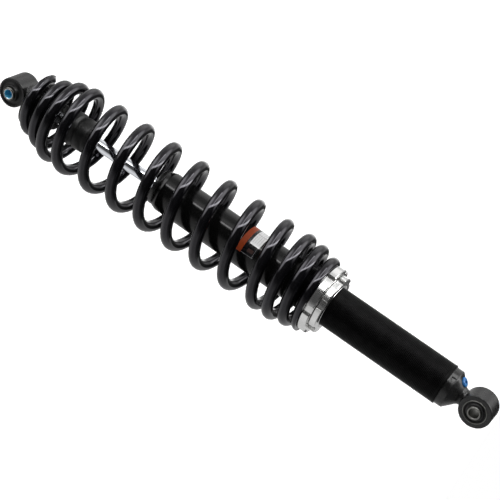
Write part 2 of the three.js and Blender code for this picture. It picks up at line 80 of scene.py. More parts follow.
SHARP = 35  # degrees; edges sharper than this stay sharp in the shading

# ---- camera ---------------------------------------------------------------------------------
VIEW_TURN = math.radians(58)  # of the line of sight about the shock, from -X towards -Y
VIEW_TILT = math.radians(14)  # of the line of sight above the horizontal
VIEW_ROLL = math.radians(34.7)  # of the shock in the picture, right end down
VIEW_DISTANCE = 1.4
VIEW_HEIGHT = -0.2655  # of the point on the shock's axis in the middle of the picture
VIEW_LIFT = 0.0006  # of the shock's axis off the middle of the picture
LENS = 103.7
NEAREST = 0.05

across_view = Vector((-math.sin(VIEW_TURN), math.cos(VIEW_TURN), 0))
towards_camera = Vector((
    -math.cos(VIEW_TILT) * math.cos(VIEW_TURN),
    -math.cos(VIEW_TILT) * math.sin(VIEW_TURN),
    math.sin(VIEW_TILT),
))
along_view = across_view.cross(towards_camera)
level_view = Vector((-math.cos(VIEW_TURN), -math.sin(VIEW_TURN), 0))


def make_camera():
    data = bpy.data.cameras.new("camera")
    data.lens = LENS
    data.clip_start = NEAREST
    camera = bpy.data.objects.new("camera", data)
    right = along_view * math.cos(VIEW_ROLL) + across_view * math.sin(VIEW_ROLL)
    up = across_view * math.cos(VIEW_ROLL) - along_view * math.sin(VIEW_ROLL)
    place = Vector((0, 0, VIEW_HEIGHT)) + towards_camera * VIEW_DISTANCE - across_view * VIEW_LIFT
    turn = Matrix((right, up, towards_camera)).transposed().to_4x4()
    camera.matrix_world = Matrix.Translation(place) @ turn
    bpy.context.scene.collection.objects.link(camera)
    bpy.context.scene.camera = camera


make_camera()


# ---- materials ------------------------------------------------------------------------------
class Nodes:
    """Short ways to add shader nodes to a tree."""

    def __init__(self, tree):
        self.tree = tree

    def add(self, kind, **settings):
        node = self.tree.nodes.new(kind)
        for name, value in settings.items():
            setattr(node, name, value)
        return node

    def feed(self, socket, value):
        if hasattr(value, "is_output"):
            self.tree.links.new(value, socket)
        else:
            socket.default_value = value

    def maths(self, operation, a, b=0.0):
        node = self.add("ShaderNodeMath", operation=operation)
        self.feed(node.inputs[0], a)
        self.feed(node.inputs[1], b)
        return node.outputs[0]

    def span(self, value, low, high, to_low, to_high, kind="LINEAR"):
        node = self.add("ShaderNodeMapRange", clamp=True, interpolation_type=kind)
        for socket, number in zip(node.inputs, (value, low, high, to_low, to_high)):
            self.feed(socket, number)
        return node.outputs[0]


class Finish(Nodes):
    """A Principled material whose inputs are worked out from the piece's own coordinates."""

    def __init__(self, name, **sockets):
        self.material = bpy.data.materials.new(name)
        self.material.use_nodes = True
        super().__init__(self.material.node_tree)
        self.shader = self.tree.nodes["Principled BSDF"]
        self.place = self.add("ShaderNodeTexCoord").outputs["Object"]
        for socket, value in sockets.items():
            self.shader.inputs[socket.replace("_", " ")].default_value = value

    def round_axis(self):
        """Radius, angle and height about Z."""
        split = self.add("ShaderNodeSeparateXYZ")
        self.feed(split.inputs[0], self.place)
        x, y, z = split.outputs
        square = self.maths("ADD", self.maths("MULTIPLY", x, x), self.maths("MULTIPLY", y, y))
        return self.maths("SQRT", square), self.maths("ARCTAN2", y, x), z

    def turned_place(self, squeeze=0.0006):
        """Coordinates in which a noise is drawn out round Z, as a lathe's marks are."""
        radius, angle, z = self.round_axis()
        join = self.add("ShaderNodeCombineXYZ")
        self.feed(join.inputs[0], radius)
        self.feed(join.inputs[1], self.maths("MULTIPLY", angle, squeeze))
        self.feed(join.inputs[2], z)
        return join.outputs[0]

    def stretched(self, x, y, z):
        node = self.add("ShaderNodeVectorMath", operation="MULTIPLY")
        self.feed(node.inputs[0], self.place)
        node.inputs[1].default_value = (x, y, z)
        return node.outputs[0]

    def noise(self, scale, detail=2.0, place=None, rough=0.5):
        node = self.add("ShaderNodeTexNoise")
        self.feed(node.inputs["Vector"], place or self.place)
        node.inputs["Scale"].default_value = scale
        node.inputs["Detail"].default_value = detail
        node.inputs["Roughness"].default_value = rough
        return node.outputs["Fac"]

    def mix(self, share, a, b):
        node = self.add("ShaderNodeMix", data_type="RGBA")
        self.feed(node.inputs["Factor"], share)
        self.feed(node.inputs[6], a)
        self.feed(node.inputs[7], b)
        return node.outputs[2]

    def set(self, socket, value):
        self.feed(self.shader.inputs[socket], value)

    def bump(self, height, distance, strength=1.0):
        node = self.add("ShaderNodeBump")
        self.feed(node.inputs["Height"], height)
        node.inputs["Distance"].default_value = distance
        node.inputs["Strength"].default_value = strength
        before = self.shader.inputs["Normal"]
        if before.is_linked:
            self.feed(node.inputs["Normal"], before.links[0].from_socket)
        self.tree.links.new(node.outputs[0], before)


def grey(value, blue=0.0):
    return (value, value, value + blue, 1)


def powder_coat():
    """Thick gloss black coat with a faint orange peel."""
    finish = Finish("powder_coat", IOR=1.5, Specular_Tint=(0.94, 0.92, 1, 1))
    finish.set("Base Color", finish.mix(finish.noise(60, 3), grey(0.0012), grey(0.0025, 0.0008)))
    finish.set("Roughness", finish.span(finish.noise(180, 3), 0.3, 0.7, 0.05, 0.09))
    finish.bump(finish.noise(650, 1), 0.00002, 0.2)
    finish.bump(finish.noise(45, 2), 0.0002, 0.05)
    return finish.material


def tube_gloss():
    """Black tube with fine marks along its length."""
    finish = Finish("tube_gloss", IOR=1.37)
    scuffs = finish.noise(400, 4, finish.stretched(1, 1, 0.03))
    finish.set("Base Color", finish.mix(scuffs, grey(0.0015), grey(0.004)))
    finish.set("Roughness", finish.span(scuffs, 0.35, 0.7, 0.1, 0.2))
    finish.bump(finish.noise(500, 2, finish.turned_place()), 0.00003, 0.3)
    return finish.material


THREAD_ROOT = 0.02058  # radii in metres between which the thread's coating gets worn
THREAD_CREST = 0.02088


def tube_thread():
    """Satin black thread, rubbed a little brighter along its crests."""
    finish = Finish("tube_thread", IOR=1.14)
    radius, _, _ = finish.round_axis()
    crest = finish.span(radius, THREAD_ROOT, THREAD_CREST, 0.0, 1.0)
    worn = finish.maths("MULTIPLY", crest, finish.span(finish.noise(90, 4), 0.42, 0.72, 0.15, 1.0))
    finish.set("Base Color", finish.mix(worn, grey(0.001), grey(0.005)))
    finish.set("Roughness", finish.span(worn, 0.0, 1.0, 0.42, 0.3))
    finish.bump(finish.noise(1500, 2), 0.00001, 0.2)
    return finish.material


def forging_paint():
    """Black paint over a forged or welded surface: dips, fine grain and edges worn towards grey."""
    finish = Finish("forging_paint", IOR=1.5)
    edge = finish.add("ShaderNodeNewGeometry").outputs["Pointiness"]
    worn = finish.maths("MULTIPLY", finish.span(edge, 0.53, 0.62, 0.0, 1.0), finish.noise(260, 3))
    patch = finish.mix(finish.noise(120, 4), grey(0.003), grey(0.007))
    finish.set("Base Color", finish.mix(worn, patch, grey(0.06)))
    finish.set("Roughness", finish.span(finish.noise(150, 3), 0.3, 0.7, 0.2, 0.34))
    finish.bump(finish.noise(380, 3), 0.00006, 0.3)
    finish.bump(finish.noise(1600, 2), 0.00001, 0.3)
    return finish.material


def chrome():
    """Hard chrome with the faint rings left by grinding."""
    finish = Finish("chrome", Metallic=1.0, Base_Color=(0.76, 0.78, 0.82, 1))
    rings = finish.noise(1400, 2, finish.turned_place())
    finish.set("Roughness", finish.span(rings, 0.3, 0.7, 0.07, 0.13))
    finish.bump(rings, 0.000004, 0.3)
    return finish.material


def machined_aluminium():
    """Bright turned aluminium: tool marks round the axis and a little staining."""
    finish = Finish("machined_aluminium", Metallic=1.0)
    marks = finish.noise(1800, 3, finish.turned_place(), 0.6)
    stain = finish.noise(70, 3)
    finish.set("Base Color", finish.mix(stain, (0.80, 0.80, 0.79, 1), (0.88, 0.88, 0.87, 1)))
    finish.set("Roughness", finish.span(stain, 0.3, 0.7, 0.16, 0.24))
    finish.bump(marks, 0.000002, 0.15)
    return finish.material


def zinc(name, low, high):
    """Zinc-plated steel, a little dull."""
    finish = Finish(name, Metallic=1.0)
    cloud = finish.noise(240, 3)
    finish.set("Base Color", finish.mix(cloud, grey(low, -0.06 * low), grey(high, -0.06 * high)))
    finish.set("Roughness", finish.span(cloud, 0.3, 0.7, 0.26, 0.42))
    finish.bump(finish.noise(1300, 3), 0.00003, 0.4)
    return finish.material


def rubber():
    """Moulded rubber with a slight shine and a dusty bloom."""
    finish = Finish("rubber", IOR=1.45)
    bloom = finish.noise(150, 4)
    finish.set("Base Color", finish.mix(bloom, grey(0.003), grey(0.008)))
    finish.set("Roughness", finish.span(bloom, 0.3, 0.7, 0.34, 0.5))
    finish.bump(finish.noise(1200, 3), 0.00004, 0.4)
    return finish.material


def blue_plastic(name, low, high):
    """Moulded plastic that lets a little light in."""
    finish = Finish(name, IOR=1.5, Subsurface_Weight=0.2, Subsurface_Scale=0.001)
    finish.set("Base Color", finish.mix(finish.noise(200, 2), (*low, 1), (*high, 1)))
    finish.set("Roughness", finish.span(finish.noise(400, 2), 0.3, 0.7, 0.25, 0.4))
    finish.bump(finish.noise(1500, 2), 0.00002, 0.3)
    return finish.material


def printed(name, low, high, roughness=0.3, film=0.4):
    """Printed vinyl: one ink, a little uneven, under a thin clear film."""
    finish = Finish(name, IOR=1.35, Coat_Weight=film, Coat_Roughness=0.12)
    finish.set("Base Color", finish.mix(finish.noise(300, 3), (*low, 1), (*high, 1)))
    finish.set("Roughness", finish.span(finish.noise(500, 2), 0.3, 0.7, roughness, roughness + 0.12))
    finish.bump(finish.noise(900, 2), 0.00001, 0.4)
    return finish.material


def oiled_steel():
    """Bare steel parts inside the damper."""
    finish = Finish("oiled_steel", Metallic=1.0)
    cloud = finish.noise(300, 3)
    finish.set("Base Color", finish.mix(cloud, grey(0.34), grey(0.48)))
    finish.set("Roughness", finish.span(cloud, 0.3, 0.7, 0.2, 0.34))
    finish.bump(finish.noise(1400, 2), 0.00002, 0.4)
    return finish.material


def seal_rubber():
    """Smooth nitrile of the seals."""
    finish = Finish("seal_rubber", IOR=1.5)
    cloud = finish.noise(300, 3)
    finish.set("Base Color", finish.mix(cloud, grey(0.010), grey(0.02)))
    finish.set("Roughness", finish.span(cloud, 0.3, 0.7, 0.35, 0.5))
    finish.bump(finish.noise(1500, 2), 0.00002, 0.3)
    return finish.material


def bronze_ptfe():
    """Bronze-filled slide bearing, speckled."""
    finish = Finish("bronze_ptfe", IOR=1.4)
    cloud = finish.noise(900, 4)
    finish.set("Base Color", finish.mix(cloud, (0.07, 0.05, 0.03, 1), (0.20, 0.15, 0.09, 1)))
    finish.set("Roughness", finish.span(cloud, 0.3, 0.7, 0.45, 0.6))
    finish.bump(cloud, 0.00002, 0.3)
    return finish.material


SLOT_MATERIALS = {
    "black_paint": forging_paint(),
    "spring_powder_coat": powder_coat(),
    "tube_black": tube_gloss(),
    "chrome_rod": chrome(),
    "machined_aluminium": machined_aluminium(),
    "zinc_steel": zinc("zinc_steel", 0.17, 0.27),
    "inner_steel": oiled_steel(),
    "black_rubber": rubber(),
    "seal_rubber": seal_rubber(),
    "blue_plastic": blue_plastic("blue_plastic", (0.010, 0.10, 0.30), (0.02, 0.17, 0.44)),
    "bronze_ptfe": bronze_ptfe(),
    "label_print": printed("label_white", (0.60, 0.60, 0.61), (0.68, 0.68, 0.68), film=1.0),
}
THREAD = tube_thread()
TEAL = blue_plastic("teal_liner", (0.10, 0.44, 0.62), (0.16, 0.54, 0.72))
STAINED = zinc("stained_steel", 0.07, 0.12)


# ---- meshes ---------------------------------------------------------------------------------
def rounded(outline, steps=4):
    """The closed outline with each [x, y, radius] corner turned into an arc of that radius."""
    result = []
    for i, point in enumerate(outline):
        if len(point) < 3:
            result.append(tuple(point))
            continue
        corner = Vector(point[:2])
        back = (Vector(outline[i - 1][:2]) - corner).normalized()
        ahead = (Vector(outline[(i + 1) % len(outline)][:2]) - corner).normalized()
        half = back.angle(ahead) / 2
        centre = corner + (back + ahead).normalized() * point[2] / math.sin(half)
        first = corner + back * point[2] / math.tan(half) - centre
        last = corner + ahead * point[2] / math.tan(half) - centre
        sweep = first.angle_signed(last)
        for step in range(steps + 1):
            spin = Matrix.Rotation(-sweep * step / steps, 2)
            result.append(tuple(centre + spin @ first))
    return result


def lathe(outline, sides=ROUND, reshape=None, angles=None):
    """Vertices and faces of an outline turned about Z.

    The outline closes on itself, or starts and ends on the axis. The angles are even, unless some are
    given, and reshape may move each vertex in or out.
    """
    angles = angles or [2 * math.pi * j / sides for j in range(sides)]
    sides = len(angles)
    vertices, rings = [], []
    for radius, height in outline:
        count = 1 if radius == 0 else sides
        start = len(vertices)
        for angle in angles[:count]:
            out = reshape(radius, height, angle) if reshape else radius
            vertices.append((out * math.cos(angle) * MM, out * math.sin(angle) * MM, height * MM))
        rings.append([start + j % count for j in range(sides)])
    pairs = list(zip(rings, rings[1:]))
    if outline[0][0] > 0:
        pairs.append((rings[-1], rings[0]))
    faces = []
    for low, high in pairs:
        for j in range(sides):
            k = (j + 1) % sides
            face = list(dict.fromkeys((low[j], low[k], high[k], high[j])))
            if len(face) > 2:
                faces.append(face)
    return vertices, faces


def build(name, shape, place=None):
    """An object of those vertices and faces, all facing out."""
    vertices, faces = shape
    mesh = bpy.data.meshes.new(name)
    mesh.from_pydata(vertices, [], faces)
    piece = bpy.data.objects.new(name, mesh)
    bpy.context.scene.collection.objects.link(piece)
    if place:
        mesh.transform(place)
    edit(piece, lambda b: bmesh.ops.recalc_face_normals(b, faces=b.faces))
    return piece


def edit(piece, change):
    """Changes the piece's mesh with a function of its bmesh."""
    b = bmesh.new()
    b.from_mesh(piece.data)
    change(b)
    b.to_mesh(piece.data)
    b.free()
    piece.data.update()


def smooth(piece, sharp):
    """Smooth shading that breaks at edges sharper than that many degrees."""
    def mark(b):
        for face in b.faces:
            face.smooth = True
        for line in b.edges:
            line.smooth = len(line.link_faces) == 2 and line.calc_face_angle(0) < math.radians(sharp)

    edit(piece, mark)


def apply(piece, kind, **settings):
    """Adds a modifier and makes its result the piece's mesh."""
    modifier = piece.modifiers.new(kind, kind)
    for name, value in settings.items():
        setattr(modifier, name, value)
    bpy.context.view_layer.update()
    done = bpy.data.meshes.new_from_object(piece.evaluated_get(bpy.context.evaluated_depsgraph_get()))
    piece.modifiers.clear()
    old, piece.data = piece.data, done
    bpy.data.meshes.remove(old)


def combine(piece, tools, operation="DIFFERENCE"):
    """Cuts the tools out of the piece, or joins them to it, and removes them."""
    for tool in tools:
        apply(piece, "BOOLEAN", object=tool, operation=operation, solver="EXACT")
        bpy.data.objects.remove(tool)
    return piece


def box(x, y, z, place):
    """A box of those full sizes in millimetres, put in place."""
    ends = (-1, 1)
    corners = [(a * x * MM / 2, b * y * MM / 2, c * z * MM / 2) for a in ends for b in ends for c in ends]
    sides = [(0, 1, 3, 2), (4, 6, 7, 5), (0, 4, 5, 1), (2, 3, 7, 6), (0, 2, 6, 4), (1, 5, 7, 3)]
    return build("tool", (corners, sides), place)


def disc(radius, low, high, place=None, sides=ROUND):
    """A solid disc or rod, or a prism when it has few sides."""
    return build("tool", lathe([(0, low), (radius, low), (radius, high), (0, high)], sides), place)


def at(x=0, y=0, z=0, turn=0, lean=0):
    """Place in millimetres, leaning about Y and then turned about Z, in degrees."""
    return (
        Matrix.Rotation(math.radians(turn), 4, "Z")
        @ Matrix.Translation((x * MM, y * MM, z * MM))
        @ Matrix.Rotation(math.radians(lean), 4, "Y")
    )


def across(z=0):
    """Place of a turned piece laid across the shock, its far end towards -Y."""
    return at(z=z) @ Matrix.Rotation(math.pi / 2, 4, "X")


def stand_in(piece, node, sharp=SHARP, material=None):
    """The piece stands for that CAD node, which is hidden. It goes with the node's body, all but the coil spring,
    and takes the slot's material unless it has its own.
    """
    entry = next(s for s in frame["record"]["subparts"] if s["node"] == node)
    if not piece.data.materials:
        piece.data.materials.append(material or SLOT_MATERIALS[entry["material_slot"]])
    smooth(piece, sharp)
    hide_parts(node)
    body = next(b for b, nodes in frame["record"]["behaviour"]["bodies"].items() if node in nodes)
    if node != "coil_spring":
        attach(piece, body)
    return piece


def extent(node):
    """Low end, high end and radius of a node that stands about Z, in millimetres."""
    low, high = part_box(node)
    return low.z / MM, high.z / MM, high.x / MM


# ---- body tube ------------------------------------------------------------------------------
TUBE_LOW, TUBE_HIGH, TUBE_R = extent("body_tube")
TUBE_BORE_R = 18
THREAD_PITCH = 1.5
THREAD_DEPTH = 0.55
THREAD_START = -212
THREAD_FADE = 2.5  # length over which it runs out at each end
THREAD_STOP = TUBE_HIGH - 1
ROWS_PER_PITCH = 6


def thread_cut(radius, height, angle):
    """Radius of the tube's outside where the thread cuts into it."""
    if radius < TUBE_R - 0.01:
        return radius
    fade = min(height - THREAD_START, THREAD_STOP - height) / THREAD_FADE
    depth = THREAD_DEPTH * max(0, min(1, fade))
    wave = math.cos(2 * math.pi * height / THREAD_PITCH - angle)
    return radius - depth * (0.5 - 0.5 * wave)


def body_tube():
    """Rolled in at the rod end, plain inside the spring and threaded from there up."""
    rows = int((THREAD_STOP - THREAD_START) / THREAD_PITCH * ROWS_PER_PITCH)
    threaded = [(TUBE_R, THREAD_START + i * THREAD_PITCH / ROWS_PER_PITCH) for i in range(1, rows)]
    shoulder = rounded([
        [TUBE_BORE_R, TUBE_LOW], [19.3, TUBE_LOW, 0.6], [TUBE_R, TUBE_LOW + 5.2, 1.2],
        [TUBE_R, THREAD_START],
    ])
    end = [(TUBE_R, TUBE_HIGH - 0.6), (TUBE_R - 0.2, TUBE_HIGH - 0.2), (TUBE_R - 0.6, TUBE_HIGH)]
    outline = shoulder + threaded + end + [(TUBE_BORE_R, TUBE_HIGH)]
    tube = build("tube_body", lathe(outline, TUBE_ROUND, thread_cut))
    tube.data.materials.append(SLOT_MATERIALS["tube_black"])
    tube.data.materials.append(THREAD)
    stand_in(tube, "body_tube", 50)
    for face in tube.data.polygons:
        if face.center.z / MM > THREAD_START and math.hypot(*face.center.xy) / MM > TUBE_R - 1:
            face.material_index = 1


# ---- label ----------------------------------------------------------------------------------
LABEL_LOW, LABEL_HIGH, _ = extent("label")
LABEL_START = 108  # degrees about +Z
LABEL_END = 258
LABEL_GAP = 0.04  # under the film
LABEL_FILM = 0.2
BAND_HEIGHT = 6
PANEL_LOW = LABEL_LOW + BAND_HEIGHT
PANEL_END = 225  # degrees, as are the next three
PANEL_SPLIT = (186, 187)
RULES_END = PANEL_END - 6
BORDER_SIDE = (LABEL_END - 3, LABEL_END - 2)
PANEL_INSET = 3.0
RULE = 0.25  # thickness of a printed line
RULE_SPACING = (LABEL_HIGH - PANEL_LOW) / 6
BORDER_HIGH = LABEL_HIGH - 1.2
BORDER_LOW = BORDER_HIGH - RULE
BLOCK = (237, 247)  # degrees; a plain patch on the dark part
BLOCK_LOW = PANEL_LOW + 5
BLOCK_HIGH = LABEL_HIGH - 2.5
WHITE, ORANGE, GREY, DARK, BROWN = range(5)  # the label's materials, in order


def label_grid():
    """Angles and heights of every line where the print may change."""
    angles = set(range(LABEL_START, LABEL_END + 1, 2)) | {PANEL_END, *PANEL_SPLIT, *BLOCK, *BORDER_SIDE}
    heights = {LABEL_LOW, PANEL_LOW, PANEL_LOW + PANEL_INSET, LABEL_HIGH}
    heights |= {BORDER_LOW, BORDER_HIGH, BLOCK_LOW, BLOCK_HIGH}
    for i in range(1, round((LABEL_HIGH - PANEL_LOW) / RULE_SPACING)):
        heights |= {PANEL_LOW + RULE_SPACING * i, PANEL_LOW + RULE_SPACING * i + RULE}
    return sorted(angles), sorted(heights)


def label_kind(angle, height):
    """Material at that place on the label."""
    if height < PANEL_LOW:
        return ORANGE
    if angle > PANEL_END:
        if BORDER_SIDE[0] < angle < BORDER_SIDE[1] or BORDER_LOW < height < BORDER_HIGH:
            return GREY
        return BROWN if BLOCK[0] < angle < BLOCK[1] and BLOCK_LOW < height < BLOCK_HIGH else DARK
    if height < PANEL_LOW + PANEL_INSET or PANEL_SPLIT[0] < angle < PANEL_SPLIT[1]:
        return DARK
    return GREY if (height - PANEL_LOW) % RULE_SPACING < RULE and angle < RULES_END else WHITE


def label():
    """A sticker with a coloured band, a ruled blank panel and a dark part with a thin border."""
    angles, heights = label_grid()
    inner = TUBE_R + LABEL_GAP
    vertices = []
    for radius in (inner + LABEL_FILM, inner):
        for z in heights:
            for a in map(math.radians, angles):
                vertices.append((radius * math.cos(a) * MM, radius * math.sin(a) * MM, z * MM))
    wide, tall = len(angles), len(heights)
    back = wide * tall
    faces, kinds = [], []
    for i in range(tall - 1):
        for j in range(wide - 1):
            low = i * wide + j
            faces.append((low, low + 1, low + wide + 1, low + wide))
            kinds.append(label_kind((angles[j] + angles[j + 1]) / 2, (heights[i] + heights[i + 1]) / 2))
            faces.append(tuple(v + back for v in reversed(faces[-1])))
            kinds.append(DARK)
    rim = list(range(wide)) + [i * wide + wide - 1 for i in range(1, tall)]
    rim += [(tall - 1) * wide + j for j in range(wide - 2, -1, -1)]
    rim += [i * wide for i in range(tall - 2, 0, -1)]
    for a, b in zip(rim, rim[1:] + rim[:1]):
        faces.append((b, a, a + back, b + back))
        kinds.append(DARK)
    sticker = build("label_sticker", (vertices, faces))
    for face, kind in zip(sticker.data.polygons, kinds):
        face.material_index = kind
    for material in (
        SLOT_MATERIALS["label_print"],
        printed("label_orange", (0.17, 0.022, 0.001), (0.27, 0.036, 0.002), 0.4, 0.1),
        printed("label_rule", (0.20, 0.20, 0.21), (0.30, 0.30, 0.31)),
        printed("label_dark", (0.003, 0.003, 0.004), (0.007, 0.007, 0.008), 0.22),
        printed("label_brown", (0.035, 0.018, 0.016), (0.06, 0.03, 0.026)),
    ):
        sticker.data.materials.append(material)
    stand_in(sticker, "label", 50)


# ---- eyes -----------------------------------------------------------------------------------
BODY_EYE_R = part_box("body_eye")[1].z / MM
BODY_EYE_HALF = 11.1
BUSH_SHELL_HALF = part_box("body_bush_shell")[1].y / MM
BUSH_SHELL_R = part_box("body_bush_shell")[1].x / MM
ROD_EYE_Z = -561
ROD_EYE_R = ROD_EYE_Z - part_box("rod_eye")[0].z / MM
ROD_EYE_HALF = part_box("rod_eye")[1].y / MM
ROD_EYE_WALL = 1.75
GAS_PORT = at(13.6, 0, -23.2, 174, 46)
CAP_R = 19.8
CAP_LOW = -36.95
CAP_NOTCHES = 3
CAP_NOTCH_TURN = 215  # degrees about +Z
BEADS = 26
BEAD_R = 2.1
BEAD_RING_R = 9.7
BEAD_SHAPE = Matrix.Diagonal((1.25, 0.9, 1.1, 1))
BEAD_LEAN = 0.5  # radians, of each drop across the ring
VOXEL = 0.00045  # metres, as is the next
BEAD_VOXEL = 0.0004
BEYOND = 30  # past a piece on both sides, for a tool that cuts right through


def soften(piece, rounds):
    """Turns sharp joins into the soft fillets of a forging or a painted weld."""
    apply(piece, "REMESH", mode="VOXEL", voxel_size=VOXEL, use_smooth_shade=True)
    apply(piece, "SMOOTH", factor=0.5, iterations=rounds)


def body_eye():
    """One forging: base cap with spanner notches and the gas port, neck and eye."""
    half = BODY_EYE_HALF
    cap = build("eye_forging", lathe(rounded([
        [0, -52], [17.7, -52], [17.7, CAP_LOW], [CAP_R, CAP_LOW], [CAP_R, -29.3, 1],
        [9.4, -19.6, 1.5], [8.4, -17], [8.4, -4], [0, -4],
    ])))
    eye = build("tool", lathe(rounded([
        [0, -half], [BODY_EYE_R, -half, 1.1], [BODY_EYE_R, half, 1.1], [0, half],
    ])), across())
    combine(cap, [eye], "UNION")
    tools = [disc(4.9, -2.4, 6, GAS_PORT)]
    for i in range(CAP_NOTCHES):
        turn = CAP_NOTCH_TURN + 360 / CAP_NOTCHES * i
        tools.append(box(3, 5, 5, at(CAP_R + 0.5, 0, -32, turn)))
    combine(cap, tools)
    soften(cap, 4)
    combine(cap, [disc(BUSH_SHELL_R + 0.05, -BEYOND, BEYOND, across())])
    stand_in(cap, "body_eye", 40)


def rod_eye():
    """A short tube across the shock, welded to the neck that the rod screws into."""
    half = ROD_EYE_HALF
    eye = build("rod_eye_weldment", lathe(rounded([
        [0, -half], [ROD_EYE_R, -half, 0.7], [ROD_EYE_R, half, 0.7], [0, half],
    ])), across(ROD_EYE_Z))
    neck = build("tool", lathe(rounded([
        [0, -552], [9, -552], [9, -539.7, 0.8], [0, -539.7],
    ])))
    combine(eye, [neck, weld_bead()], "UNION")
    soften(eye, 2)
    eye_bore = disc(ROD_EYE_R - ROD_EYE_WALL, -BEYOND, BEYOND, across(ROD_EYE_Z))
    combine(eye, [eye_bore, disc(6.4, -543.9, -530)])
    stand_in(eye, "rod_eye", 40)


def weld_bead():
    """One ring of overlapping drops where the neck meets the eye's tube."""
    ring = bmesh.new()
    for i in range(BEADS):
        angle = 2 * math.pi * i / BEADS
        x, y = BEAD_RING_R * math.cos(angle), BEAD_RING_R * math.sin(angle)
        z = ROD_EYE_Z + math.sqrt(ROD_EYE_R ** 2 - x ** 2)
        place = at(x, y, z) @ Matrix.Rotation(angle + BEAD_LEAN, 4, "Z") @ BEAD_SHAPE
        bmesh.ops.create_icosphere(ring, subdivisions=3, radius=BEAD_R * MM, matrix=place)
    bead = build("tool", ([], []))
    ring.to_mesh(bead.data)
    ring.free()
    apply(bead, "REMESH", mode="VOXEL", voxel_size=BEAD_VOXEL)
    return bead


def bush_rubber(name, node, sleeve_r, shell_r, half, crown, place):
    """A bonded bush: a lip against its housing, a stepped moat, and a collar that hugs the sleeve."""
    face = [
        [shell_r, half - 0.5], [shell_r - 0.5, half, 0.2], [shell_r - 1.0, half - 0.1, 0.3],
        [shell_r - 1.4, half - 1.2, 0.4], [shell_r - 2.2, half - 1.0, 0.3],
        [sleeve_r + 2.3, half + 0.2, 0.4], [sleeve_r + 1.5, crown, 0.5],
        [sleeve_r + 0.6, crown + 0.2, 0.3], [sleeve_r, crown - 0.3],
    ]
    outline = face + [[r, -z, *extra] for r, z, *extra in reversed(face)]
    stand_in(build(name, lathe(rounded(outline)), place), node, 50)


def sleeve(name, node, inner, outer, half, place, lip=0.3, edge=0.5, material=None, ends=None):
    """A tube chamfered inside and outside at both ends, where the ends may have their own material."""
    face = [[inner, half - lip], [inner + lip, half], [outer - edge, half], [outer, half - edge]]
    outline = [[r, z, 0.1] for r, z in face[1:]] + [[r, -z, 0.1] for r, z in reversed(face)]
    outline.append([*face[0], 0.1])
    piece = stand_in(build(name, lathe(rounded(outline, 2)), place), node, material=material)
    if ends:
        piece.data.materials.append(ends)
        for face in piece.data.polygons:
            face.material_index = int(abs(face.center.y) > (half - edge - 0.01) * MM)


def bushes():
    """Shell, rubber and sleeve of the body eye, then rubber, sleeve and liner of the rod eye."""
    here, there = across(), across(ROD_EYE_Z)
    inner, outer, half = BUSH_SHELL_R - 0.9, BUSH_SHELL_R, BUSH_SHELL_HALF
    stand_in(build("bush_shell", lathe(rounded([
        [inner, -half, 0.4], [outer, -half, 0.4], [outer, half, 0.4], [inner, half, 0.4],
    ], 3)), here), "body_bush_shell")
    bush_rubber("body_eye_rubber", "body_bush_rubber", 6.75, inner - 0.02, 11, 11.9, here)
    sleeve("body_eye_sleeve", "body_bush_sleeve", 5, 6.7, 13.9, here, 0.3, 0.4)
    bush_rubber("rod_eye_rubber", "rod_bush_rubber", 7.05, ROD_EYE_R - ROD_EYE_WALL - 0.02, 13.5, 17.1, there)
    sleeve("rod_eye_sleeve", "rod_bush_sleeve", 5.5, 7, 19.5, there, 0.2, 1.0, STAINED)
    # Painted highlight: the liner's ends take the bright aluminium finish. This makes a bright ring round the blue
    # bore in place of the highlight on the liner's end face.
    sleeve(
        "rod_eye_liner", "rod_bore_liner", 4.8, 5.45, 19.2, there, 0.2, 0.1, TEAL,
        SLOT_MATERIALS["machined_aluminium"],
    )


def gas_plug():
    """A round blue plug with a hexagon socket."""
    plug = build("gas_port_plug", lathe(rounded([
        [0, -2.4], [4.6, -2.4], [4.75, 0.6, 0.4], [4.0, 1.2, 0.4], [2.9, 1.3, 0.2], [0, 1.3],
    ]), SMALL_ROUND), GAS_PORT)
    combine(plug, [disc(2.0, -0.9, 4, GAS_PORT, 6)])
    stand_in(plug, "gas_plug", 30)


# ---- collars --------------------------------------------------------------------------------
SLOTS = 6
SLOT_WIDTH = 9.3
SLOT_DEPTH = 3
EDGE_BREAK = 0.25  # of the rim where a slot starts
CHAMFER = 0.7  # of the rims
LAND_STEPS = 16  # between two slots
PRELOAD_FACE = -183  # where the spring sits
PRELOAD_FIRST_SLOT = 25.5  # degrees about +Z
LOCK_R = 30.9
LOCK_FIRST_SLOT = 7


def collar(name, node, outline, rim, first):
    """A turned ring with spanner slots across its rim, their edges broken."""
    first = math.radians(first)
    pitch = 2 * math.pi / SLOTS
    edge = math.asin(SLOT_WIDTH / 2 / (rim - SLOT_DEPTH / 2))
    land = pitch - 2 * edge
    steps = [edge * share for share in (-0.99, -0.5, 0, 0.5, 0.99)]
    even = [i / LAND_STEPS for i in range(1, LAND_STEPS)]
    steps += [edge + land * share for share in (0, 0.01, *even, 0.99, 1)]

    def slotted(radius, height, angle):
        off = abs((angle - first + pitch / 2) % pitch - pitch / 2) / edge
        if off < 0.995:
            return min(radius, rim - SLOT_DEPTH)
        return min(radius, rim - EDGE_BREAK) if off < 1.002 else radius

    angles = [first + pitch * i + step for i in range(SLOTS) for step in steps]
    stand_in(build(name, lathe(rounded(outline, 3), reshape=slotted, angles=angles)), node, 30)


